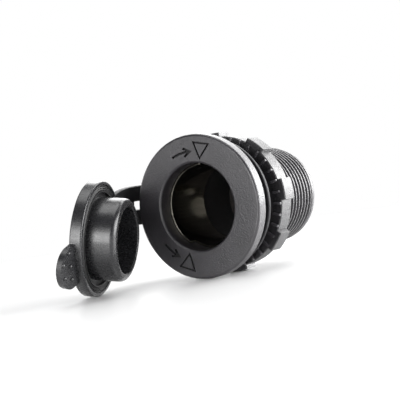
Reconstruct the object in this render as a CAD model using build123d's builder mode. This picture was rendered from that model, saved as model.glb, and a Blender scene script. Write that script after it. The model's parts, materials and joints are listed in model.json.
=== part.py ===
# Panel-mounted 12 V power socket with a dust cap on a strap.
# Millimetres. The bore axis is Y and the mouth faces -Y. Z is up.
# The origin is on the bore axis, in the plane of the panel that the flange is clamped to.

import os
from math import cos, radians, sin

from build123d import *

os.makedirs("parts", exist_ok=True)

# Flange and barrel
flange_overhang = 5.0
flange_thickness = 3.3
flange_front_round = 0.7
flange_rear_round = 0.25
barrel_wall = 1.9
thread_pitch = 1.7
thread_depth = 0.65
thread_crest = 0.5
thread_neck = 2.0
thread_end_band = 1.7
barrel_length = 36.3
barrel_end_round = 0.6
mouth_round = 0.6

# Contact sleeve, set back in the mouth
sleeve_inner_radius = 10.55
sleeve_wall = 0.6
sleeve_length = 15.4
sleeve_setback = 4.0
sleeve_lip_round = 0.2
sleeve_fit = 0.05
bore_relief = 0.25
lock_notch_width = 6.0
lock_notch_depth = 2.4
lock_point_angle = 72.0
tail_width = 5.0
tail_side_gap = 0.15
tail_foot_end = 3.9

# Insulating end plug, sunk into the barrel's rear rim
base_seat_radius = 11.6
base_fit = 0.05
base_thickness = 4.0
base_sunk = 2.6
barrier_thickness = 1.0
barrier_height = 3.0
barrier_length = 16.0
barrier_drop = 3.0

# Rivets and blade terminals
rivet_fit = 0.05
contact_head_radius = 2.9
contact_head_height = 1.3
contact_crown = 0.4
contact_shank_radius = 1.25
contact_tail_radius = 1.9
contact_tail_height = 0.8
rivet_drop = 5.9
rivet_head_radius = 1.6
rivet_head_height = 0.8
rivet_crown = 0.25
rivet_shank_radius = 1.0
blade_width = 6.3
blade_thickness = 0.8
blade_length = 8.0
blade_bend = 0.5
blade_tip_chamfer = 0.9
blade_hole_radius = 0.85
blade_hole_back = 3.2
foot_margin = 2.0
positive_blade_rise = 6.4
negative_blade_drop = 9.0

# Castellated lock nut
nut_gap = 4.43
nut_thickness = 5.1
nut_proud = 0.1
nut_tooth_depth = 1.1
nut_tooth_count = 8
nut_tooth_width = 5.5
nut_tooth_angle = 4.5
nut_edge_chamfer = 0.25
nut_bore_chamfer = 0.6
nut_fit = 0.06
rib_count = 36
rib_length = 1.7
rib_margin = 0.5
rib_width = 0.5
rib_height = 0.35
rib_angle = 3.0

# Cap ring, hung on the barrel behind the flange
ring_gap = 4.0
ring_thickness = 1.4
ring_width = 3.2
ring_hang_gap = 0.3
ring_round = 0.45
ring_lug_inset = 2.0
ring_lug_reach = 1.2

# Cap: disc with a dished underside, hollow plug and thumb tab
cap_radius = 14.5
cap_thickness = 3.1
cap_top_round = 0.4
cap_rim_round = 0.35
dish_rim = 0.9
dish_depth = 0.35
ridge_count = 3
ridge_height = 0.25
lip_width = 0.4
lip_height = 0.3
root_groove_width = 1.3
root_groove_depth = 0.8
plug_fit = 0.15
plug_length = 6.95
plug_wall = 2.1
plug_tip_round = 1.6
plug_inner_round = 0.4
plug_floor = 1.8
tab_radius = 5.1
tab_reach = 1.2
tab_thickness = 1.4
tab_rise = 8.9
tab_root_inset = 1.6
pip_radius = 0.45
pip_pitch = 3.4
pip_start = 2.0
pip_shift = 0.8
cap_lug_inset = 1.5
cap_lug_reach = 0.8
cap_lug_height = 0.8

# Strap, the living hinge between ring and cap
strap_angle = 173.4
strap_width = 10.8
strap_thickness = 1.4
strap_bulge = 4.8
strap_sections = 7
strap_slot_width = 2.45
strap_slot_start = 0.1
strap_slot_end = 0.5

# Hinge: the line that the cap swings about on its strap, and how far it stands open at rest.
# Swung shut, the cap faces the mouth with the plug just inside, and is then pushed straight home.
hinge_inset = 0.65
hinge_behind_face = 1.3
hinge_lean = 17.8
hinge_tilt = 2.0
open_angle = 73.8
cap_clock = 4.0
cap_push = 4.5
cap_seat_gap = 0.2

# Places along the bore axis. The ring is pinched between flange and panel when the socket is fitted.
face_y = -flange_thickness - ring_thickness
flange_rear_y = face_y + flange_thickness
barrel_end_y = flange_rear_y + barrel_length
sleeve_front_y = face_y + sleeve_setback
sleeve_rear_y = sleeve_front_y + sleeve_length
base_rear_y = barrel_end_y - base_sunk
base_front_y = base_rear_y - base_thickness
tail_foot_y = base_front_y - sleeve_wall
foot_rear_y = base_rear_y + blade_thickness
ring_front_y = flange_rear_y + ring_gap
ring_rear_y = ring_front_y + ring_thickness
nut_front_y = ring_rear_y + nut_gap
nut_rear_y = nut_front_y + nut_thickness

# Radii from the bore outwards. The barrel's wall stands around the end plug's seat.
pocket_radius = sleeve_inner_radius + sleeve_wall + sleeve_fit
bore_radius = sleeve_inner_radius + bore_relief
thread_radius = base_seat_radius + barrel_wall
flange_radius = thread_radius + flange_overhang
ring_inner_radius = thread_radius + ring_hang_gap
ring_outer_radius = ring_inner_radius + ring_width
ring_lug_end = ring_outer_radius + ring_lug_reach
hinge_offset = ring_lug_end - hinge_inset


def across(y):
    """Plane across the bore axis as seen from the mouth: X to the right, Z up, normal to -Y."""
    return Plane.XZ.offset(-y)


def rims(builder, radius, y):
    """Circular edges of a turned piece with this radius at this place along the bore axis."""
    circles = builder.edges().filter_by(GeomType.CIRCLE)
    return circles.filter_by(lambda e: abs(e.radius - radius) < 0.01 and abs(e.arc_center.Y - y) < 0.01)


# Thread, drawn as rings of its pitch between a plain neck behind the flange and a plain end band
thread_root_radius = thread_radius - thread_depth
thread_turns = int((barrel_length - thread_neck - thread_end_band) / thread_pitch)
thread_rear_y = barrel_end_y - thread_end_band
thread_section = []
for turn in range(thread_turns):
    groove_y = thread_rear_y - (thread_turns - turn) * thread_pitch
    thread_section += [
        (thread_radius, groove_y),
        (thread_root_radius, groove_y + (thread_pitch - thread_crest) / 2),
        (thread_radius, groove_y + thread_pitch - thread_crest),
    ]

# Socket body: flange and barrel in one turned section, with a channel for the sleeve's tail
with BuildPart() as socket_body:
    with BuildSketch(Plane.XY):
        with BuildLine():
            Polyline(
                (pocket_radius, face_y),
                (flange_radius, face_y),
                (flange_radius, flange_rear_y),
                (thread_radius, flange_rear_y),
                *thread_section,
                (thread_radius, barrel_end_y),
                (base_seat_radius, barrel_end_y),
                (base_seat_radius, base_front_y),
                (bore_radius, base_front_y),
                (bore_radius, sleeve_rear_y),
                (pocket_radius, sleeve_rear_y),
                close=True,
            )
        make_face()
    revolve(axis=Axis.Y)
    fillet(rims(socket_body, flange_radius, face_y), flange_front_round)
    fillet(rims(socket_body, flange_radius, flange_rear_y), flange_rear_round)
    fillet(rims(socket_body, pocket_radius, face_y), mouth_round)
    fillet(rims(socket_body, thread_radius, barrel_end_y), barrel_end_round)
    with BuildSketch(across(base_front_y)):
        with Locations((0, -sleeve_inner_radius)):
            Rectangle(tail_width + 2 * tail_side_gap, 2 * (pocket_radius - sleeve_inner_radius))
    extrude(amount=base_front_y - sleeve_rear_y, mode=Mode.SUBTRACT)
socket_body.part.label = "socket_body"
export_step(socket_body.part, "parts/socket_body.step")

# Contact sleeve: rolled shell with two lock notches, a flat tail down the bore and a foot on the end plug
with BuildPart() as contact_sleeve:
    with BuildSketch(across(sleeve_rear_y)):
        Circle(sleeve_inner_radius + sleeve_wall)
        Circle(sleeve_inner_radius, mode=Mode.SUBTRACT)
    extrude(amount=sleeve_length)
    fillet(rims(contact_sleeve, sleeve_inner_radius, sleeve_front_y), sleeve_lip_round)
    with BuildSketch(across(sleeve_front_y + lock_notch_depth)):
        with PolarLocations(sleeve_inner_radius, 2, start_angle=lock_point_angle):
            Rectangle(4 * sleeve_wall, lock_notch_width)
    extrude(amount=2 * lock_notch_depth, mode=Mode.SUBTRACT)
    with BuildSketch(across(base_front_y)):
        with Locations((0, -sleeve_inner_radius - sleeve_wall / 2)):
            Rectangle(tail_width, sleeve_wall)
    extrude(amount=base_front_y - sleeve_rear_y)
    with BuildSketch(across(base_front_y)):
        foot_length = sleeve_inner_radius + sleeve_wall / 2 - tail_foot_end
        with Locations((0, -tail_foot_end)):
            Rectangle(tail_width, foot_length, align=(Align.CENTER, Align.MAX))
        with Locations((0, -rivet_drop)):
            Circle(rivet_shank_radius + rivet_fit, mode=Mode.SUBTRACT)
    extrude(amount=sleeve_wall)
contact_sleeve.part.label = "contact_sleeve"
export_step(contact_sleeve.part, "parts/contact_sleeve.step")

# End plug: disc with two rivet holes and a barrier wall between the terminals
with BuildPart() as terminal_base:
    with BuildSketch(across(base_rear_y)):
        Circle(base_seat_radius - base_fit)
        Circle(contact_shank_radius + rivet_fit, mode=Mode.SUBTRACT)
        with Locations((0, -rivet_drop)):
            Circle(rivet_shank_radius + rivet_fit, mode=Mode.SUBTRACT)
    extrude(amount=base_thickness)
    with BuildSketch(across(base_rear_y)):
        with Locations((0, -barrier_drop)):
            Rectangle(barrier_length, barrier_thickness)
    extrude(amount=-barrier_height)
terminal_base.part.label = "terminal_base"
export_step(terminal_base.part, "parts/terminal_base.step")

# Centre contact: button inside, shank through the end plug, tail swaged over the positive terminal
contact_front_y = base_front_y - contact_head_height
contact_rear_y = foot_rear_y + contact_tail_height
with BuildPart() as centre_contact:
    with BuildSketch(Plane.XY):
        with BuildLine():
            Polyline(
                (0, contact_front_y),
                (contact_head_radius, contact_front_y),
                (contact_head_radius, base_front_y),
                (contact_shank_radius, base_front_y),
                (contact_shank_radius, foot_rear_y),
                (contact_tail_radius, foot_rear_y),
                (contact_tail_radius, contact_rear_y),
                (0, contact_rear_y),
                close=True,
            )
        make_face()
    revolve(axis=Axis.Y)
    fillet(rims(centre_contact, contact_head_radius, contact_front_y), contact_crown)
    fillet(rims(centre_contact, contact_tail_radius, contact_rear_y), contact_crown)
centre_contact.part.label = "centre_contact"
export_step(centre_contact.part, "parts/centre_contact.step")

# Terminal rivet: clamps the sleeve's foot and the negative terminal to the end plug
rivet_plane = Plane.XY.offset(-rivet_drop)
rivet_front_y = tail_foot_y - rivet_head_height
rivet_rear_y = foot_rear_y + rivet_head_height
with BuildPart() as terminal_rivet:
    with BuildSketch(rivet_plane):
        with BuildLine():
            Polyline(
                (0, rivet_front_y),
                (rivet_head_radius, rivet_front_y),
                (rivet_head_radius, tail_foot_y),
                (rivet_shank_radius, tail_foot_y),
                (rivet_shank_radius, foot_rear_y),
                (rivet_head_radius, foot_rear_y),
                (rivet_head_radius, rivet_rear_y),
                (0, rivet_rear_y),
                close=True,
            )
        make_face()
    revolve(axis=Axis(rivet_plane.origin, (0, 1, 0)))
    fillet(rims(terminal_rivet, rivet_head_radius, rivet_front_y), rivet_crown)
    fillet(rims(terminal_rivet, rivet_head_radius, rivet_rear_y), rivet_crown)
terminal_rivet.part.label = "terminal_rivet"
export_step(terminal_rivet.part, "parts/terminal_rivet.step")

# Blade terminals: a strip riveted to the end plug by its foot and bent back into a 6.3 mm blade
blade_tip_y = foot_rear_y + blade_length
terminals = (
    ("positive_terminal", 1, 0, positive_blade_rise, contact_shank_radius),
    ("negative_terminal", -1, -rivet_drop, -negative_blade_drop, rivet_shank_radius),
)
for terminal_name, outward, rivet_z, blade_z, shank_radius in terminals:
    foot_tip_z = rivet_z - outward * foot_margin
    blade_inner_z = blade_z - outward * blade_thickness
    with BuildPart() as terminal:
        with BuildSketch(Plane.YZ) as strip:
            with BuildLine():
                Polyline(
                    (base_rear_y, foot_tip_z),
                    (base_rear_y, blade_z),
                    (blade_tip_y, blade_z),
                    (blade_tip_y, blade_inner_z),
                    (foot_rear_y, blade_inner_z),
                    (foot_rear_y, foot_tip_z),
                    close=True,
                )
            make_face()
            outer_bend = strip.vertices().sort_by_distance((base_rear_y, blade_z))[0]
            fillet(outer_bend, blade_bend + blade_thickness)
            inner_bend = strip.vertices().sort_by_distance((foot_rear_y, blade_inner_z))[0]
            fillet(inner_bend, blade_bend)
        extrude(amount=blade_width / 2, both=True)
        chamfer(terminal.edges().filter_by(Axis.Z).group_by(Axis.Y)[-1], blade_tip_chamfer)
        with BuildSketch(Plane.XY.offset(blade_z)):
            with Locations((0, blade_tip_y - blade_hole_back)):
                Circle(blade_hole_radius)
        extrude(amount=blade_thickness, both=True, mode=Mode.SUBTRACT)
        with BuildSketch(across(base_rear_y)):
            with Locations((0, rivet_z)):
                Circle(shank_radius + rivet_fit)
        extrude(amount=-blade_thickness, mode=Mode.SUBTRACT)
    terminal.part.label = terminal_name
    export_step(terminal.part, f"parts/{terminal_name}.step")

# Lock nut: castellated ring about as wide as the flange, with radial ribs on the face that meets the panel
nut_bore_radius = thread_radius + nut_fit
nut_tip_radius = flange_radius + nut_proud
nut_valley_radius = nut_tip_radius - nut_tooth_depth
rib_outer_radius = nut_valley_radius - rib_margin
rib_inner_radius = rib_outer_radius - rib_length
with BuildPart() as lock_nut:
    with BuildSketch(across(nut_rear_y)):
        with PolarLocations(0, nut_tooth_count, start_angle=nut_tooth_angle):
            Rectangle(2 * nut_tip_radius, nut_tooth_width, align=(Align.MIN, Align.CENTER))
        Circle(nut_tip_radius, mode=Mode.INTERSECT)
        Circle(nut_valley_radius)
        Circle(nut_bore_radius, mode=Mode.SUBTRACT)
    extrude(amount=nut_thickness)
    nut_faces = lock_nut.faces().sort_by(Axis.Y)
    chamfer(nut_faces[0].outer_wire().edges() + nut_faces[-1].outer_wire().edges(), nut_edge_chamfer)
    chamfer(rims(lock_nut, nut_bore_radius, nut_front_y), nut_bore_chamfer)
    chamfer(rims(lock_nut, nut_bore_radius, nut_rear_y), nut_bore_chamfer)
    with BuildSketch(across(nut_front_y)):
        with PolarLocations((rib_inner_radius + rib_outer_radius) / 2, rib_count, start_angle=rib_angle):
            Rectangle(rib_outer_radius - rib_inner_radius, rib_width)
    extrude(amount=rib_height)
lock_nut.part.label = "lock_nut"
export_step(lock_nut.part, "parts/lock_nut.step")

# Cap ring: flat ring around the barrel with a lug that the strap grows from
ring_lug_root = ring_outer_radius - ring_lug_inset
with BuildPart() as cap_ring:
    with BuildSketch(across(ring_rear_y)):
        Circle(ring_outer_radius)
        Circle(ring_inner_radius, mode=Mode.SUBTRACT)
    extrude(amount=ring_thickness)
    fillet(rims(cap_ring, ring_outer_radius, ring_front_y), ring_round)
    fillet(rims(cap_ring, ring_outer_radius, ring_rear_y), ring_round)
    with BuildSketch(across(ring_rear_y)):
        with PolarLocations(ring_lug_root, 1, start_angle=strap_angle):
            Rectangle(ring_lug_end - ring_lug_root, strap_width, align=(Align.MIN, Align.CENTER))
    extrude(amount=strap_thickness)
cap_ring.part.label = "cap_ring"
export_step(cap_ring.part, "parts/cap_ring.step")

# Cap placement: drawn on the plane of its underside, which faces the mouth and is then swung open.
# Local X points away from the strap, local Z out of the cap's outer face.
shut_plane = Plane(
    (0, face_y - cap_seat_gap - cap_push, 0),
    x_dir=(cos(radians(cap_clock)), 0, sin(radians(cap_clock))),
    z_dir=(0, -1, 0),
)
hinge_line = Axis(
    (-hinge_offset, face_y + hinge_behind_face, 0),
    (
        sin(radians(hinge_tilt)) * cos(radians(hinge_lean)),
        sin(radians(hinge_lean)),
        -cos(radians(hinge_tilt)) * cos(radians(hinge_lean)),
    ),
)
cap_plane = Plane(
    hinge_line.position + (shut_plane.origin - hinge_line.position).rotate(hinge_line, open_angle),
    x_dir=shut_plane.x_dir.rotate(hinge_line, open_angle),
    z_dir=shut_plane.z_dir.rotate(hinge_line, open_angle),
)
cap_section = Plane(cap_plane.origin, x_dir=cap_plane.x_dir, z_dir=-cap_plane.y_dir)

# The tab is opposite the strap and lifts a little from the edge of the outer face.
tab_heading = -cap_plane.x_dir * cos(radians(strap_angle)) - cap_plane.y_dir * sin(radians(strap_angle))
tab_plane = Plane(
    cap_plane.origin + cap_plane.z_dir * cap_thickness + tab_heading * cap_radius,
    x_dir=tab_heading * cos(radians(tab_rise)) + cap_plane.z_dir * sin(radians(tab_rise)),
    z_dir=cap_plane.z_dir * cos(radians(tab_rise)) - tab_heading * sin(radians(tab_rise)),
)

# Underside of the cap from the rim inwards: dish with concentric ridges, lip, groove at the plug's root
plug_radius = sleeve_inner_radius - plug_fit
dish_radius = cap_radius - dish_rim
lip_inner_radius = plug_radius + root_groove_width
lip_outer_radius = lip_inner_radius + lip_width
ridge_pitch = (dish_radius - lip_outer_radius) / ridge_count
underside = [(dish_radius, 0), (dish_radius, dish_depth)]
for ridge in range(ridge_count):
    ridge_outer = dish_radius - ridge * ridge_pitch
    underside.append((ridge_outer - ridge_pitch / 2, dish_depth - ridge_height))
    underside.append((ridge_outer - ridge_pitch, dish_depth))
underside += [
    (lip_outer_radius, dish_depth - lip_height),
    (lip_inner_radius, dish_depth - lip_height),
    (lip_inner_radius, root_groove_depth),
    (plug_radius, root_groove_depth),
]
hollow_radius = plug_radius - plug_wall
cap_lug_root = cap_radius - cap_lug_inset
cap_lug_end = cap_radius + cap_lug_reach

with BuildPart() as cap:
    with BuildSketch(cap_section) as cap_profile:
        with BuildLine():
            Polyline(
                (0, cap_thickness),
                (cap_radius, cap_thickness),
                (cap_radius, 0),
                *underside,
                (plug_radius, -plug_length),
                (hollow_radius, -plug_length),
                (hollow_radius, cap_thickness - plug_floor),
                (0, cap_thickness - plug_floor),
                close=True,
            )
        make_face()
        for corner, corner_round in (
            ((cap_radius, cap_thickness), cap_top_round),
            ((cap_radius, 0), cap_rim_round),
            ((plug_radius, -plug_length), plug_tip_round),
            ((hollow_radius, -plug_length), plug_inner_round),
        ):
            fillet(cap_profile.vertices().sort_by_distance(corner)[0], corner_round)
    revolve(axis=Axis(cap_plane.origin, cap_plane.z_dir))
    with BuildSketch(tab_plane):
        with Locations((tab_reach, 0)):
            Rectangle(tab_reach + tab_root_inset, 2 * tab_radius, align=(Align.MAX, Align.CENTER))
            Circle(tab_radius)
    extrude(amount=-tab_thickness)
    with BuildSketch(cap_plane.offset(cap_lug_height)):
        with PolarLocations(cap_lug_root, 1, start_angle=strap_angle):
            Rectangle(cap_lug_end - cap_lug_root, strap_width, align=(Align.MIN, Align.CENTER))
    extrude(amount=strap_thickness)
    pip_second = pip_start + pip_pitch * cos(radians(30))
    pip_spots = [(pip_start, pip_shift + row * pip_pitch) for row in (-1, 0, 1)]
    pip_spots += [(pip_second, pip_shift + row * pip_pitch) for row in (-0.5, 0.5)]
    with Locations(tab_plane.offset(-tab_thickness)):
        with Locations(*pip_spots):
            Sphere(pip_radius)
cap.part.label = "cap"
export_step(cap.part, "parts/cap.step")

# Strap: a band from the ring's lug, out and forward to the cap's lug, with a slot that leaves two legs
lug_direction = (cos(radians(strap_angle)), sin(radians(strap_angle)))
lug_side = (-sin(radians(strap_angle)), cos(radians(strap_angle)))
ring_plane = across(ring_rear_y - strap_thickness / 2)
strap_start = ring_plane.from_local_coords(Vector(*lug_direction) * ring_lug_end)
strap_end = cap_plane.offset(cap_lug_height + strap_thickness / 2).from_local_coords(
    Vector(*lug_direction) * cap_lug_end
)
start_heading = ring_plane.x_dir * lug_direction[0] + ring_plane.y_dir * lug_direction[1]
end_heading = cap_plane.x_dir * lug_direction[0] + cap_plane.y_dir * lug_direction[1]
start_side = ring_plane.x_dir * lug_side[0] + ring_plane.y_dir * lug_side[1]
end_side = cap_plane.x_dir * lug_side[0] + cap_plane.y_dir * lug_side[1]
strap_line = Bezier(
    strap_start,
    strap_start + start_heading * strap_bulge,
    strap_end + end_heading * strap_bulge,
    strap_end,
)


def strap_frame(along):
    """Plane across the strap at this share of its length, X across its width."""
    heading = strap_line.tangent_at(along)
    side = start_side * (1 - along) + end_side * along
    side = (side - heading * side.dot(heading)).normalized()
    return Plane(strap_line.position_at(along), x_dir=side, z_dir=heading)


with BuildPart() as cap_strap:
    for section in range(strap_sections):
        with BuildSketch(strap_frame(section / (strap_sections - 1))):
            Rectangle(strap_width, strap_thickness)
    loft()
    for section in range(strap_sections):
        slot_share = section / (strap_sections - 1)
        with BuildSketch(strap_frame(strap_slot_start + (strap_slot_end - strap_slot_start) * slot_share)):
            Rectangle(strap_slot_width, 2 * strap_thickness)
    loft(mode=Mode.SUBTRACT)
cap_strap.part.label = "cap_strap"
export_step(cap_strap.part, "parts/cap_strap.step")
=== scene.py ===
# Car 12 V power socket lying on its side, cap open on its strap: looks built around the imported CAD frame
import json
from math import atan2, cos, hypot, radians, sin, tan, tau

import bmesh
import bpy
from mathutils import Matrix, Vector

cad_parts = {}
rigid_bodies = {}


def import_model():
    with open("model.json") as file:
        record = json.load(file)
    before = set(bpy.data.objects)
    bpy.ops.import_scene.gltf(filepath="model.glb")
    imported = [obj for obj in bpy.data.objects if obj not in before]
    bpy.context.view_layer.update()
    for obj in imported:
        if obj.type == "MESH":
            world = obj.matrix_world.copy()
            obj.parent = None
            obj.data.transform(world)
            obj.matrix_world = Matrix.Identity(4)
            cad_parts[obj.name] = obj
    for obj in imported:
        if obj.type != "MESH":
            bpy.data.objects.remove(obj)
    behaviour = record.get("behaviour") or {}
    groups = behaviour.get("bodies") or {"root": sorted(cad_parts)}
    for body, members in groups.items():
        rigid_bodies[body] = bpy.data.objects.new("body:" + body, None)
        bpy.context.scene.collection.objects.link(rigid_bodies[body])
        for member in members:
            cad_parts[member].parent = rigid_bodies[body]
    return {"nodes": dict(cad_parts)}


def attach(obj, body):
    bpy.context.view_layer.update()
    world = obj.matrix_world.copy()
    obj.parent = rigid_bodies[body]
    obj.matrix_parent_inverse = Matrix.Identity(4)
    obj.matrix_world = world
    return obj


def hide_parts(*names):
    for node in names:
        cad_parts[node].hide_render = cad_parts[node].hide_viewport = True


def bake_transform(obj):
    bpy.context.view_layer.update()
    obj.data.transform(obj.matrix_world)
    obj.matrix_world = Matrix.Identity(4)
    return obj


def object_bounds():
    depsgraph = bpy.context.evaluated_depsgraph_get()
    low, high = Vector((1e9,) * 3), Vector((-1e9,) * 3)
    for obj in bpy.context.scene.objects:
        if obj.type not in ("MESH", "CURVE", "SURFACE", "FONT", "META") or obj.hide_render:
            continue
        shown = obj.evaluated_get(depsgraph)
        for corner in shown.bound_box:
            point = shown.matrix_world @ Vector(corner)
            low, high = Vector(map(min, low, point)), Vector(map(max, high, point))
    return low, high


for leftover in list(bpy.data.objects):  # start-up cube, lamp and camera
    bpy.data.objects.remove(leftover)
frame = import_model()
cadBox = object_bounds()
scene = bpy.context.scene
scene.view_settings.view_transform = "Standard"
mm = 0.001
sameSpot = 0.0005 * mm  # corners closer than this are merged
hair = 1e-6             # slack for picking and cutting edges by their place


# Camera at the photograph's viewing angle, aimed at the middle of the flange's face
cameraSet = {
    "aim": (0.0, -4.7, 0.0),  # mm, middle of the face
    "distance": 231.3,        # mm
    "azimuth": 34.69,         # degrees round from the mouth towards +X
    "elevation": 0.76,
    "roll": -8.16,
    "lens": 82.09,            # mm
    "sensor": 36,             # mm
    "shift": (0.0097, 0.0176),
    "clip": (0.01, 50),       # m
}


def makeCamera(values):
    turn, lift, roll = (radians(values[key]) for key in ("azimuth", "elevation", "roll"))
    back = Vector((sin(turn) * cos(lift), -cos(turn) * cos(lift), sin(lift)))
    level = Vector((cos(turn), sin(turn), 0))
    upright = back.cross(level)
    right = level * cos(roll) + upright * sin(roll)
    top = upright * cos(roll) - level * sin(roll)
    eye = Vector(values["aim"]) * mm + back * values["distance"] * mm
    data = bpy.data.cameras.new("viewCamera")
    data.lens = values["lens"]
    data.sensor_width = values["sensor"]
    data.sensor_fit = "HORIZONTAL"
    data.shift_x, data.shift_y = values["shift"]
    data.clip_start, data.clip_end = values["clip"]
    camera = bpy.data.objects.new("viewCamera", data)
    camera.matrix_world = Matrix.Translation(eye) @ Matrix((right, top, back)).transposed().to_4x4()
    scene.collection.objects.link(camera)
    scene.camera = camera


makeCamera(cameraSet)
print("camera set")


# Cap's own frame as it stands open: origin in the plane of the rim, Z out through the cap's top
capFrame = {
    "origin": (-18.1663, -21.3863, -4.4851),
    "x": (0.297993, -0.921091, -0.250583),
    "y": (0.250583, -0.177821, 0.951624),
    "z": (-0.921091, -0.346369, 0.177821),
    "clock": 173.4,  # degrees from X to where the strap joins, on the ring too, with the tab opposite
}
capOrigin, capX, capY, capZ = (Vector(capFrame[key]) for key in ("origin", "x", "y", "z"))
strapClock = radians(capFrame["clock"])


# Small helpers for materials
def linear(hexColour):
    channels = [int(hexColour[i:i + 2], 16) / 255 for i in (1, 3, 5)]
    return [c / 12.92 if c <= 0.04045 else ((c + 0.055) / 1.055) ** 2.4 for c in channels] + [1.0]


def patternSize(size, detail):
    return {"Scale": 1 / (size * mm), "Detail": detail}  # one feature of the pattern for each size in mm


def addNode(tree, kind, values=None, links=None, **settings):
    node = tree.nodes.new(kind)
    for key, value in settings.items():
        setattr(node, key, value)
    for key, value in (values or {}).items():
        node.inputs[key].default_value = value
    for key, source in (links or {}).items():
        tree.links.new(source, node.inputs[key])
    return node


def bareMaterial(name):
    material = bpy.data.materials.new(name)
    material.use_nodes = True
    tree = material.node_tree
    tree.nodes.clear()
    output = addNode(tree, "ShaderNodeOutputMaterial")
    place = addNode(tree, "ShaderNodeTexCoord").outputs["Object"]
    return material, tree, output.inputs["Surface"], place


# How far each place lies along an axis and off it
def roundAxis(tree, place, along, across):
    axes = addNode(tree, "ShaderNodeSeparateXYZ", links={"Vector": place}).outputs
    offAxis = addNode(tree, "ShaderNodeCombineXYZ", links={"X": axes[across[0]], "Y": axes[across[1]]})
    radius = addNode(tree, "ShaderNodeVectorMath", links={0: offAxis.outputs["Vector"]}, operation="LENGTH")
    return axes[along], radius.outputs["Value"]


# Mask that is 1 inside a ring-shaped room: each span is its middle and its half width in mm
def insideRoom(tree, along, alongSpan, radius, radiusSpan):
    inside = []
    for measure, (middle, half) in ((along, alongSpan), (radius, radiusSpan)):
        within = addNode(tree, "ShaderNodeMath", {1: middle * mm, 2: half * mm}, {0: measure},
                         operation="COMPARE")
        inside.append(within.outputs["Value"])
    room = addNode(tree, "ShaderNodeMath", links={0: inside[0], 1: inside[1]}, operation="MULTIPLY")
    return room.outputs["Value"]


# Every finish: one pattern sets the tone, one the sheen and bump, and places under the painted shade mask
# are painted darker and duller
def dressSurface(tree, surface, look, tonePattern, grainPattern, paintedShade=None):
    tone = addNode(tree, "ShaderNodeValToRGB", links={"Fac": tonePattern})
    for stop, spot, hexColour in zip(tone.color_ramp.elements, look["toneSpots"], look["tones"]):
        stop.position = spot
        stop.color = linear(hexColour)
    smoothest, roughest = look["roughness"]
    sheen = addNode(tree, "ShaderNodeMapRange", {"To Min": smoothest, "To Max": roughest},
                    {"Value": grainPattern})
    colour, roughness = tone.outputs["Color"], sheen.outputs["Result"]
    if paintedShade is not None:
        dimmed = addNode(tree, "ShaderNodeMapRange", {"To Min": 1.0, "To Max": look["paintedShadeTone"]},
                         {"Value": paintedShade})
        darker = addNode(tree, "ShaderNodeVectorMath", links={0: colour, "Scale": dimmed.outputs["Result"]},
                         operation="SCALE")
        duller = addNode(tree, "ShaderNodeMath", {1: look["shadedDulling"]}, {0: paintedShade, 2: roughness},
                         operation="MULTIPLY_ADD")
        colour, roughness = darker.outputs["Vector"], duller.outputs["Value"]
    strength, depth = look["bump"]
    bump = addNode(tree, "ShaderNodeBump", {"Strength": strength, "Distance": depth * mm},
                   {"Height": grainPattern})
    shader = addNode(tree, "ShaderNodeBsdfPrincipled", look["constants"],
                     {"Base Color": colour, "Roughness": roughness, "Normal": bump.outputs["Normal"]})
    tree.links.new(shader.outputs["BSDF"], surface)


# Black glass-filled nylon, injection moulded in a fine spark-eroded tool: satin grey sheen, tiny even grain
nylonLook = {
    "cloud": (7.0, 3.0), "toneSpots": (0.3, 0.7),  # pattern: size in mm, detail
    "grain": (0.35, 2.0),  # about 0.1 mm on the part, drawn larger so that it shows
    "bump": (1.0, 0.1),    # strength, depth in mm
    # painted shade in the sunk marks, from 0.1 mm below the face, between mouth and rim
    "markSpan": (-4.05, 0.55), "markRing": (14.4, 2.8),
    # and the same painted shade, with more roughness, in the bore behind the sleeve
    "boreSpan": (24, 11), "boreRing": (0.0, 11.7),
    "paintedShadeTone": 0.2, "shadedDulling": 0.5,
    "constants": {"IOR": 1.53, "Specular IOR Level": 0.8},
}


def mouldedNylon(name, tones, roughness):
    material, tree, surface, place = bareMaterial(name)
    look = {**nylonLook, "tones": tones, "roughness": roughness}
    cloud = addNode(tree, "ShaderNodeTexNoise", patternSize(*look["cloud"]), {"Vector": place})
    grain = addNode(tree, "ShaderNodeTexNoise", patternSize(*look["grain"]), {"Vector": place})
    along, radius = roundAxis(tree, place, "Y", "XZ")
    inMarks = insideRoom(tree, along, look["markSpan"], radius, look["markRing"])
    inBore = insideRoom(tree, along, look["boreSpan"], radius, look["boreRing"])
    # marks and rear bore together make the mask for the painted shade
    paintedShadeMask = addNode(tree, "ShaderNodeMath", links={0: inMarks, 1: inBore}, operation="ADD")
    dressSurface(tree, surface, look, cloud.outputs["Fac"], grain.outputs["Fac"], paintedShadeMask.outputs["Value"])
    return material


# Soft black polypropylene off a worn tool: black with a satin sheen that breaks up in short drag streaks
softLook = {
    "cloud": (5.0, 4.0), "toneSpots": (0.3, 0.7), "tones": ("#202022", "#2c2c2e"),
    # drag marks of about 0.5 mm, drawn out along the way the plug leaves its tool
    "drag": (0.5, 3.0), "dragScale": (1, 1, 0.5), "dragDepth": 0.035,
    # painted shade on the dished underside between plug and rim
    "dishSpan": (0.6, 0.9), "dishRing": (12.05, 1.5),
    "paintedShadeTone": 0.35, "shadedDulling": 0.3,
    "constants": {"IOR": 1.49, "Specular IOR Level": 0.75},
}


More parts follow.
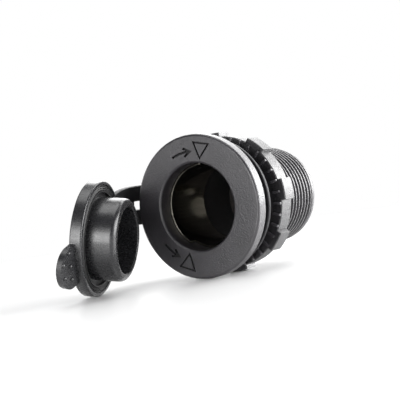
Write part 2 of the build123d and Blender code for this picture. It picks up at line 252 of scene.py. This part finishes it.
def softPolypropylene(name, roughness, drag):
    material, tree, surface, place = bareMaterial(name)
    look = {**softLook, "roughness": roughness, "bump": (drag, softLook["dragDepth"])}
    cloud = addNode(tree, "ShaderNodeTexNoise", patternSize(*look["cloud"]), {"Vector": place})
    turned = Matrix((capX, capY, capZ)).transposed().to_euler()
    inCap = addNode(tree, "ShaderNodeMapping", {"Location": capOrigin * mm, "Rotation": turned},
                    {"Vector": place}, vector_type="TEXTURE").outputs["Vector"]
    drawn = addNode(tree, "ShaderNodeMapping", {"Scale": look["dragScale"]}, {"Vector": inCap})
    streaks = addNode(tree, "ShaderNodeTexNoise", patternSize(*look["drag"]),
                      {"Vector": drawn.outputs["Vector"]})
    along, radius = roundAxis(tree, inCap, "Z", "XY")
    inDish = insideRoom(tree, along, look["dishSpan"], radius, look["dishRing"])
    dressSurface(tree, surface, look, cloud.outputs["Fac"], streaks.outputs["Fac"], inDish)
    return material


# The same polypropylene on the strap, worked by bending: a shade darker and duller
flexedLook = {
    "pattern": (2.0, 5.0), "toneSpots": (0.35, 0.7), "tones": ("#1b1b1d", "#29292b"),
    "roughness": (0.38, 0.52), "bump": (0.2, 0.03), "constants": {"IOR": 1.49, "Specular IOR Level": 0.6},
}
# and on the ring, a copy that shines less: painted shade for the gap behind the flange where it lies
ringLook = {**flexedLook, "constants": {"IOR": 1.49, "Specular IOR Level": 0.15}}
# Nickel-plated steel strip, rolled to a sleeve: warm grey metal with faint drawing lines along the bore
steelLook = {
    "pattern": (0.5, 3.0), "drawn": (1, 0.06, 1), "toneSpots": (0.3, 0.7), "tones": ("#757269", "#8a867e"),
    "roughness": (0.1, 0.18), "bump": (0.04, 0.01), "constants": {"Metallic": 1.0},
}
# Tinned brass strip, blanked and bent: pale soft metal with rolling lines and dull spots
brassLook = {
    "pattern": (0.4, 3.0), "drawn": (1, 0.1, 1), "toneSpots": (0.3, 0.7), "tones": ("#a5a39e", "#c6c4be"),
    "roughness": (0.28, 0.45), "bump": (0.12, 0.01), "constants": {"Metallic": 1.0},
}
# Phenolic end plug, compression moulded: dark brown-black with wood-flour flecks and a dull skin
phenolicLook = {
    "pattern": (0.5, 6.0), "toneSpots": (0.4, 0.72), "tones": ("#181412", "#2e2622"),
    "roughness": (0.45, 0.62), "bump": (0.2, 0.02), "constants": {"IOR": 1.6},
}


# These have a single pattern, which the metals draw out along the part's axis
def onePattern(name, look):
    material, tree, surface, place = bareMaterial(name)
    if "drawn" in look:
        drawn = addNode(tree, "ShaderNodeMapping", {"Scale": look["drawn"]}, {"Vector": place})
        place = drawn.outputs["Vector"]
    pattern = addNode(tree, "ShaderNodeTexNoise", patternSize(*look["pattern"]), {"Vector": place})
    dressSurface(tree, surface, look, pattern.outputs["Fac"], pattern.outputs["Fac"])
    return material


nylon = mouldedNylon("mouldedNylon", ("#28262a", "#333135"), (0.28, 0.44))
# the nut's copy in darker tones: painted shade for its front behind the flange
nutNylon = mouldedNylon("nutNylon", ("#1e1d20", "#28272a"), (0.32, 0.5))
ribHighlightNylon = mouldedNylon("paintedHighlightNylon", ("#38363a", "#4a484c"), (0.25, 0.4))  # painted highlight: paler tones so that the ribs show as lit lines
polypropylene = softPolypropylene("softPolypropylene", (0.18, 0.38), 0.3)
pipPolypropylene = softPolypropylene("pipPolypropylene", (0.06, 0.12), 0.05)  # polished by the thumb
flexed = onePattern("flexedPolypropylene", flexedLook)
tinned = onePattern("tinnedBrass", brassLook)
finishes = {
    "socket_body": nylon,
    "lock_nut": nutNylon,
    "contact_sleeve": onePattern("platedSteel", steelLook),
    "terminal_base": onePattern("mouldedPhenolic", phenolicLook),
    "centre_contact": tinned,
    "terminal_rivet": tinned,
    "positive_terminal": tinned,
    "negative_terminal": tinned,
    "cap_ring": onePattern("ringPolypropylene", ringLook),
    "cap": polypropylene,
    "cap_strap": flexed,
}
for nodeName, finish in finishes.items():
    for materialSlot in frame["nodes"][nodeName].material_slots:
        materialSlot.material = finish
print("materials on", len(finishes), "nodes")


# Small helpers for meshes
def meshObject(name, bm, material=None):
    mesh = bpy.data.meshes.new(name)
    bm.to_mesh(mesh)
    bm.free()
    if material:
        mesh.materials.append(material)
    made = bpy.data.objects.new(name, mesh)
    scene.collection.objects.link(made)
    return made


def newPiece(name, bm, material, sharpAngle=32):
    bmesh.ops.remove_doubles(bm, verts=bm.verts, dist=sameSpot)
    bmesh.ops.recalc_face_normals(bm, faces=bm.faces)
    if bm.calc_volume(signed=True) < 0:  # a thin bent shell can come out inside out
        bmesh.ops.reverse_faces(bm, faces=bm.faces)
    for face in bm.faces:
        face.smooth = True
    for edge in bm.edges:
        edge.smooth = edge.calc_face_angle(0) < radians(sharpAngle)
    return meshObject(name, bm, material)


def ringEdges(bm, radius, y):
    def onRing(vert):
        return abs(hypot(vert.co.x, vert.co.z) - radius * mm) < hair and abs(vert.co.y - y * mm) < hair
    return [edge for edge in bm.edges if all(onRing(vert) for vert in edge.verts)]


def roundEdges(bm, edges, size, segments):
    bmesh.ops.bevel(bm, geom=edges, offset=size * mm, offset_type="OFFSET", affect="EDGES",
                    segments=segments, profile=0.5, material=-1)


# Socket body: flange and barrel turned in one section, with the thread's root left between neck and end band
bodySet = {
    "steps": 180,
    "flangeRadius": 18.5, "faceY": -4.7, "flangeRearY": -1.4,
    "neckRadius": 13.5, "neckEndY": 0.6,
    "rootRadius": 12.75, "bandStartY": 33.2, "barrelEndY": 34.9,
    "pocketRadius": 11.2, "boreRadius": 10.8, "seatRadius": 11.6,
    "pocketRearY": 14.7, "seatFrontY": 28.3,
    "channelWidth": 5.3, "channelHeight": 1.3,  # groove for the sleeve's tail
    # corners from the mouth over the flange, along the barrel and back through the bore
    "section": [
        ("pocketRadius", "faceY"), ("flangeRadius", "faceY"), ("flangeRadius", "flangeRearY"),
        ("neckRadius", "flangeRearY"), ("neckRadius", "neckEndY"), ("rootRadius", "neckEndY"),
        ("rootRadius", "bandStartY"), ("neckRadius", "bandStartY"), ("neckRadius", "barrelEndY"),
        ("seatRadius", "barrelEndY"), ("seatRadius", "seatFrontY"), ("boreRadius", "seatFrontY"),
        ("boreRadius", "pocketRearY"), ("pocketRadius", "pocketRearY"),
    ],
    # rounded corners: which, size in mm, segments
    "rounds": [
        ("flangeRadius", "faceY", 0.7, 6), ("flangeRadius", "flangeRearY", 0.25, 3),
        ("pocketRadius", "faceY", 0.6, 6), ("neckRadius", "barrelEndY", 0.6, 5),
        ("neckRadius", "bandStartY", 0.25, 3),
    ],
}
# Lock-point marks sunk in the face: two triangles that point at the notches, each with an arrow towards it
markSet = {
    "triangleAngles": (75.6, -109.0), "apexRadius": 11.95, "baseRadius": 16.7, "halfAngle": 9.1,
    "arrowAngles": ((111.4, 88.1), (-142.9, -121.7)), "arrowRadius": 14.2, "shaftSteps": 4,
    "barbLength": 2.0, "barbSpread": 1.1,
    "triangleStroke": 0.46, "arrowStroke": 0.62, "depth": 0.8,
}


def onFace(radius, angle):
    return radius * cos(radians(angle)), radius * sin(radians(angle))


# Cutter for a mark: its outlines, drawn in front of the face and extruded as far behind it
def addSunk(bm, outlines, depth, faceY):
    faces = []
    for outline in outlines:
        corners = [bm.verts.new((x * mm, (faceY - depth) * mm, z * mm)) for x, z in outline]
        faces.append(bm.faces.new(corners))
    bmesh.ops.remove_doubles(bm, verts=[vert for face in faces for vert in face.verts], dist=sameSpot)
    raised = bmesh.ops.extrude_face_region(bm, geom=faces)["geom"]
    bmesh.ops.translate(bm, vec=(0, 2 * depth * mm, 0),
                        verts=[item for item in raised if isinstance(item, bmesh.types.BMVert)])


def triangleOutlines(middle, marks):
    places = [(marks["apexRadius"], middle), (marks["baseRadius"], middle - marks["halfAngle"]),
              (marks["baseRadius"], middle + marks["halfAngle"])]
    corners = [Vector(onFace(radius, angle)) for radius, angle in places]
    inner = []
    for corner, after, before in zip(corners, corners[1:] + corners[:1], corners[-1:] + corners[:-1]):
        halfAngle = (after - corner).angle(before - corner) / 2
        inwards = ((after - corner).normalized() + (before - corner).normalized()).normalized()
        inner.append(corner + inwards * marks["triangleStroke"] / sin(halfAngle))
    return [(corners[i], corners[i - 2], inner[i - 2], inner[i]) for i in range(3)]


def arrowOutlines(tail, tip, marks):
    length, half = abs(radians(tip - tail)) * marks["arrowRadius"], marks["arrowStroke"] / 2
    slant = atan2(marks["barbSpread"], marks["barbLength"])
    reach = hypot(marks["barbSpread"], marks["barbLength"])
    neck = length - half * sin(slant) - half * (1 + cos(slant)) / tan(slant)
    side = [(neck * step / marks["shaftSteps"], half) for step in range(marks["shaftSteps"] + 1)]
    side.append((length - reach * cos(slant) - half * sin(slant), reach * sin(slant) - half * cos(slant)))
    side.append((length - reach * cos(slant) + half * sin(slant), reach * sin(slant) + half * cos(slant)))
    otherSide = [(along, -across) for along, across in reversed(side)]
    outline = side + [(length + half / sin(slant), 0)] + otherSide
    return [[onFace(marks["arrowRadius"] + across, tail + (tip - tail) * along / length)
             for along, across in outline]]


def makeCutters(values, marks):
    bm = bmesh.new()
    for middle in marks["triangleAngles"]:
        addSunk(bm, triangleOutlines(middle, marks), marks["depth"], values["faceY"])
    for tail, tip in marks["arrowAngles"]:
        addSunk(bm, arrowOutlines(tail, tip, marks), marks["depth"], values["faceY"])
    channelLength = values["seatFrontY"] - values["pocketRearY"]
    channelMiddle = Matrix.Translation((0, values["pocketRearY"] + channelLength / 2,
                                        values["channelHeight"] / 2 - values["pocketRadius"]))
    channelSize = Matrix.Diagonal((values["channelWidth"], channelLength, values["channelHeight"], 1))
    bmesh.ops.create_cube(bm, size=1, matrix=Matrix.Scale(mm, 4) @ channelMiddle @ channelSize)
    bmesh.ops.recalc_face_normals(bm, faces=bm.faces)
    return meshObject("cutters", bm)


def cutAway(bm, cutters):
    uncut = meshObject("uncut", bm)
    cut = uncut.modifiers.new("cut", "BOOLEAN")
    cut.operation = "DIFFERENCE"
    cut.solver = "EXACT"
    cut.use_self = True
    cut.object = cutters
    finished = uncut.evaluated_get(bpy.context.evaluated_depsgraph_get())
    shaped = bmesh.new()
    shaped.from_mesh(bpy.data.meshes.new_from_object(finished))
    for spare in (uncut, cutters):
        bpy.data.objects.remove(spare)
    return shaped


def makeSocketBody(values, marks):
    bm = bmesh.new()
    corners = [bm.verts.new((values[radius] * mm, values[y] * mm, 0)) for radius, y in values["section"]]
    edges = [bm.edges.new((a, b)) for a, b in zip(corners, corners[1:] + corners[:1])]
    bmesh.ops.spin(bm, geom=corners + edges, cent=(0, 0, 0), axis=(0, 1, 0), dvec=(0, 0, 0),
                   angle=tau, steps=values["steps"], use_merge=True, use_duplicate=False)
    bmesh.ops.remove_doubles(bm, verts=bm.verts, dist=sameSpot)
    bmesh.ops.recalc_face_normals(bm, faces=bm.faces)
    for radius, y, size, segments in values["rounds"]:
        roundEdges(bm, ringEdges(bm, values[radius], values[y]), size, segments)
    piece = newPiece("socketBody", cutAway(bm, makeCutters(values, marks)), nylon)
    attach(piece, "socket")
    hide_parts("socket_body")
    evenNormals = piece.modifiers.new("evenNormals", "WEIGHTED_NORMAL")
    evenNormals.keep_sharp = True


# Thread: one rounded ridge wound along the barrel, its ends lost in the neck and the end band
threadSet = {
    "pitch": 1.7, "startY": 0.3, "endY": 33.6, "stepsPerTurn": 96, "sharpAngle": 50,
    # radius, place along the axis from the middle of the ridge
    "ridge": [(12.6, -0.46), (13.28, -0.32), (13.42, -0.26), (13.47, -0.17), (13.47, 0.17), (13.42, 0.26),
              (13.28, 0.32), (12.6, 0.46)],
}


def makeThread(values):
    bm = bmesh.new()
    corners = [bm.verts.new((radius * mm, (values["startY"] + y) * mm, 0)) for radius, y in values["ridge"]]
    start = bm.faces.new(corners)
    turns = (values["endY"] - values["startY"]) / values["pitch"]
    bmesh.ops.spin(bm, geom=[start], cent=(0, 0, 0), axis=(0, 1, 0),
                   dvec=(0, values["pitch"] / values["stepsPerTurn"] * mm, 0), angle=tau * turns,
                   steps=round(turns * values["stepsPerTurn"]), use_merge=False, use_duplicate=False)
    piece = newPiece("barrelThread", bm, nylon, values["sharpAngle"])
    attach(piece, "socket")


# Nut ribs: grip ribs on the nut's front, rounded so that their edges catch the light, over the plain ones
ribSet = {
    "count": 36, "angle": 3.0, "innerRadius": 15.25, "outerRadius": 17.35, "width": 0.6,
    "frontY": 7.85, "rearY": 8.7, "edgeRound": 0.15, "roundSegments": 2,
}


def makeNutRibs(values):
    bm = bmesh.new()
    middle = Matrix.Translation(((values["innerRadius"] + values["outerRadius"]) / 2,
                                 (values["frontY"] + values["rearY"]) / 2, 0))
    size = Matrix.Diagonal((values["outerRadius"] - values["innerRadius"],
                            values["rearY"] - values["frontY"], values["width"], 1))
    for rib in range(values["count"]):
        turn = Matrix.Rotation(-radians(values["angle"]) - tau * rib / values["count"], 4, "Y")
        bmesh.ops.create_cube(bm, size=1, matrix=Matrix.Scale(mm, 4) @ turn @ middle @ size)
    roundEdges(bm, bm.edges[:], values["edgeRound"], values["roundSegments"])
    piece = newPiece("nutRibs", bm, ribHighlightNylon)
    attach(piece, "nut")


# Tab pips: five round grip pips under the thumb tab, a row of three and a row of two
pipSet = {
    "rise": 8.9, "capRadius": 14.5, "capThickness": 3.1, "tabThickness": 1.4,
    "radius": 0.52, "subdivisions": 3, "pitch": 3.4, "start": 2.0, "shift": 0.8,
}


def makeTabPips(values):
    bm = bmesh.new()
    rise = radians(values["rise"])
    heading = -capX * cos(strapClock) - capY * sin(strapClock)
    root = capOrigin + capZ * values["capThickness"] + heading * values["capRadius"]
    along = heading * cos(rise) + capZ * sin(rise)
    upright = capZ * cos(rise) - heading * sin(rise)
    across = upright.cross(along)
    secondRow = values["start"] + values["pitch"] * cos(radians(30))  # pips stand in even triangles
    spots = [(values["start"], column) for column in (-1, 0, 1)]
    spots += [(secondRow, column) for column in (-0.5, 0.5)]
    for reach, column in spots:
        middle = root + along * reach + across * (values["shift"] + column * values["pitch"])
        middle -= upright * values["tabThickness"]
        bmesh.ops.create_icosphere(bm, subdivisions=values["subdivisions"], radius=values["radius"] * mm,
                                   matrix=Matrix.Translation(middle * mm))
    piece = newPiece("tabPips", bm, pipPolypropylene)
    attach(piece, "cap")


makeSocketBody(bodySet, markSet)
makeThread(threadSet)
makeNutRibs(ribSet)
makeTabPips(pipSet)
print("socket body, thread, nut ribs and tab pips made")


# Strap: a flat pattern with a slot, bent along the line from the ring's lug to the cap's lug
strapSet = {
    "width": 10.8, "thickness": 1.4, "slotWidth": 2.45, "bulge": 4.8,
    "ringEnd": 18.2, "ringMidY": 3.3,
    "capEnd": 15.3, "capMid": 1.5,
    "rimAngle": 60, "edgeRound": 0.22, "roundSegments": 2,
    # shares of the strap's length: slot, the two pieces, and where each of them bends
    "slotStart": 0.1, "slotEnd": 0.5,
    "legs": (0.0, 0.68), "band": (0.66, 1.0),
    "legsBend": (0.04, 0.62), "bandBend": (0.72, 0.97),
    "gridAlong": 40, "gridAcross": 10,  # lines of the flat pattern
}


def strapLine(values):
    startOut = Vector((cos(strapClock), 0, sin(strapClock)))
    endOut = capX * cos(strapClock) + capY * sin(strapClock)
    startSide = Vector((-sin(strapClock), 0, cos(strapClock)))
    endSide = capY * cos(strapClock) - capX * sin(strapClock)
    start = startOut * values["ringEnd"] + Vector((0, values["ringMidY"], 0))
    end = capOrigin + capZ * values["capMid"] + endOut * values["capEnd"]
    points = (start, start + startOut * values["bulge"], end + endOut * values["bulge"], end)
    return points, startSide, endSide


def strapPoint(values, along, across):
    (a, b, c, d), startSide, endSide = strapLine(values)
    rest = 1 - along
    spot = a * rest ** 3 + b * 3 * rest ** 2 * along + c * 3 * rest * along ** 2 + d * along ** 3
    heading = ((b - a) * rest ** 2 + (c - b) * 2 * rest * along + (d - c) * along ** 2).normalized()
    side = startSide * rest + endSide * along
    side = (side - heading * side.dot(heading)).normalized()
    return spot + side * across, side.cross(heading)


def makeStrap(name, values, share):
    bm = bmesh.new()
    bmesh.ops.create_grid(bm, x_segments=values["gridAlong"], y_segments=values["gridAcross"], size=0.5)
    bmesh.ops.scale(bm, vec=(share[1] - share[0], values["width"], 1), verts=bm.verts)
    bmesh.ops.translate(bm, vec=((share[0] + share[1]) / 2, 0, 0), verts=bm.verts)
    slotHalf = values["slotWidth"] / 2
    slotCuts = [((0, edge, 0), (0, 1, 0)) for edge in (-slotHalf, slotHalf)]
    slotCuts += [((edge, 0, 0), (1, 0, 0)) for edge in (values["slotStart"], values["slotEnd"])]
    for spot, normal in slotCuts:
        bmesh.ops.bisect_plane(bm, geom=bm.verts[:] + bm.edges[:] + bm.faces[:], dist=hair,
                               plane_co=spot, plane_no=normal)
    inSlot = []
    for face in bm.faces:
        middle = face.calc_center_median()
        if abs(middle.y) < slotHalf and values["slotStart"] < middle.x < values["slotEnd"]:
            inSlot.append(face)
    bmesh.ops.delete(bm, geom=inSlot, context="FACES")
    for vert in bm.verts:
        spot, outwards = strapPoint(values, vert.co.x, vert.co.y)
        vert.co = (spot - outwards * values["thickness"] / 2) * mm
    bm.normal_update()
    bmesh.ops.solidify(bm, geom=bm.faces[:], thickness=values["thickness"] * mm)
    bmesh.ops.recalc_face_normals(bm, faces=bm.faces)
    rims = [edge for edge in bm.edges if edge.calc_face_angle(0) > radians(values["rimAngle"])]
    roundEdges(bm, rims, values["edgeRound"], values["roundSegments"])
    piece = newPiece(name, bm, flexed)
    return piece


strapLegs = makeStrap("strapLegs", strapSet, strapSet["legs"])
strapBand = makeStrap("strapBand", strapSet, strapSet["band"])
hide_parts("cap_strap")
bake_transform(strapLegs)
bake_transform(strapBand)
print("strap made")


# Stage surface: the camera, reflections and clear pieces show one shader, and light bounces off the other
def stageSurface(tree, surface, lit, shown):
    rays = addNode(tree, "ShaderNodeLightPath").outputs
    direct = addNode(tree, "ShaderNodeMath", links={0: rays["Is Camera Ray"], 1: rays["Is Glossy Ray"]},
                     operation="MAXIMUM").outputs["Value"]
    seen = addNode(tree, "ShaderNodeMath", links={0: direct, 1: rays["Is Transmission Ray"]},
                   operation="MAXIMUM").outputs["Value"]
    mixed = addNode(tree, "ShaderNodeMixShader", links={"Fac": seen, 1: lit, 2: shown})
    tree.links.new(mixed.outputs["Shader"], surface)


# Floor: white board with a soft gloss, lit as it is near the part and plain white further off
floorSet = {
    "reach": 2.5,        # m
    "fade": (0.1, 0.3),  # m from the middle
    "matt": "#f0f0f0", "gloss": "#ffffff", "glossShare": 0.24, "glossRoughness": 0.22,
}


def makeFloor(values, z):
    bm = bmesh.new()
    bmesh.ops.create_grid(bm, x_segments=1, y_segments=1, size=values["reach"])
    bmesh.ops.translate(bm, vec=(0, 0, z), verts=bm.verts)
    material, tree, surface, place = bareMaterial("whiteBoard")
    matt = addNode(tree, "ShaderNodeBsdfDiffuse", {"Color": linear(values["matt"])})
    gloss = addNode(tree, "ShaderNodeBsdfGlossy", {"Color": linear(values["gloss"]),
                                                   "Roughness": values["glossRoughness"]})
    board = addNode(tree, "ShaderNodeMixShader", {"Fac": values["glossShare"]},
                    {1: matt.outputs["BSDF"], 2: gloss.outputs["BSDF"]}).outputs["Shader"]
    white = addNode(tree, "ShaderNodeEmission", {"Color": linear("#ffffff"), "Strength": 1.0})
    off = addNode(tree, "ShaderNodeVectorMath", links={0: place}, operation="LENGTH")
    near, far = values["fade"]
    fade = addNode(tree, "ShaderNodeMapRange", {"From Min": near, "From Max": far},
                   {"Value": off.outputs["Value"]}, interpolation_type="SMOOTHSTEP")
    faded = addNode(tree, "ShaderNodeMixShader",
                    links={"Fac": fade.outputs["Result"], 1: board, 2: white.outputs["Emission"]})
    stageSurface(tree, surface, board, faded.outputs["Shader"])
    floor = meshObject("floor", bm, material)


# Backdrop: tall white sheet behind the part and a low white wall all round, in metres
backdropSet = {
    "distance": 1.3, "width": 2.6, "height": 2.0, "colour": "#f4f4f4",
    "wallRadius": 2.4, "wallHeight": 0.42, "wallSteps": 72,
}


def makeBackdrop(values, azimuth, z):
    bm = bmesh.new()
    bmesh.ops.create_grid(bm, x_segments=1, y_segments=1, size=0.5)
    turn = radians(azimuth)
    away = Vector((-sin(turn), cos(turn), 0)) * values["distance"]
    facing = (-away).to_track_quat("Z", "Y").to_matrix().to_4x4()
    bmesh.ops.scale(bm, vec=(values["width"], values["height"], 1), verts=bm.verts)
    bmesh.ops.transform(bm, matrix=Matrix.Translation(away) @ facing, verts=bm.verts)
    foot = bm.verts.new((values["wallRadius"], 0, z))
    crest = bm.verts.new((values["wallRadius"], 0, z + values["wallHeight"]))
    bmesh.ops.spin(bm, geom=[foot, crest, bm.edges.new((foot, crest))], cent=(0, 0, 0), axis=(0, 0, 1),
                   dvec=(0, 0, 0), angle=tau, steps=values["wallSteps"], use_merge=True, use_duplicate=False)
    material, tree, surface, _ = bareMaterial("whiteSheet")
    sheet = addNode(tree, "ShaderNodeBsdfDiffuse", {"Color": linear(values["colour"])})
    white = addNode(tree, "ShaderNodeEmission", {"Color": linear("#ffffff"), "Strength": 1.0})
    stageSurface(tree, surface, sheet.outputs["BSDF"], white.outputs["Emission"])
    backdrop = meshObject("backdrop", bm, material)


# World: faint cool fill from all round
worldSet = {"colour": "#c8ccd0", "strength": 0.1}


def makeWorld(values):
    world = bpy.data.worlds.new("studio")
    world.use_nodes = True
    tree = world.node_tree
    tree.nodes.clear()
    output = addNode(tree, "ShaderNodeOutputWorld")
    room = addNode(tree, "ShaderNodeBackground",
                   {"Color": linear(values["colour"]), "Strength": values["strength"]})
    tree.links.new(room.outputs["Background"], output.inputs["Surface"])
    scene.world = world


# Lamps: azimuth from +Y towards +X and elevation in degrees, distance, width and height in mm, watts
lampSet = {
    "backPanel": (-2, 32, 600, 940, 390, 4.4),
    "rightPanel": (40, 7, 500, 420, 320, 5.2),
    "rightFill": (80, 14, 500, 260, 280, 2.0),
    "overhead": (0, 84, 560, 420, 420, 1.5),
    "front": (176, 10, 600, 240, 280, 1.35),
    "facePanel": (185, 14, 160, 140, 90, 0.062),
    "leftFill": (252, 6, 500, 300, 200, 0.4),
}


def makeLamp(name, azimuth, elevation, distance, width, height, power):
    data = bpy.data.lights.new(name, "AREA")
    data.shape = "RECTANGLE"
    data.size, data.size_y = width * mm, height * mm
    data.energy = power
    lamp = bpy.data.objects.new(name, data)
    turn, lift = radians(azimuth), radians(elevation)
    spot = Vector((sin(turn) * cos(lift), cos(turn) * cos(lift), sin(lift))) * distance * mm
    lamp.matrix_world = Matrix.Translation(spot) @ spot.to_track_quat("Z", "Y").to_matrix().to_4x4()
    scene.collection.objects.link(lamp)


floorZ = cadBox[0][2]
makeFloor(floorSet, floorZ)
makeBackdrop(backdropSet, cameraSet["azimuth"], floorZ)
makeWorld(worldSet)
for lampName, lampValues in lampSet.items():
    makeLamp(lampName, *lampValues)
print("floor, backdrop, world and lamps set")
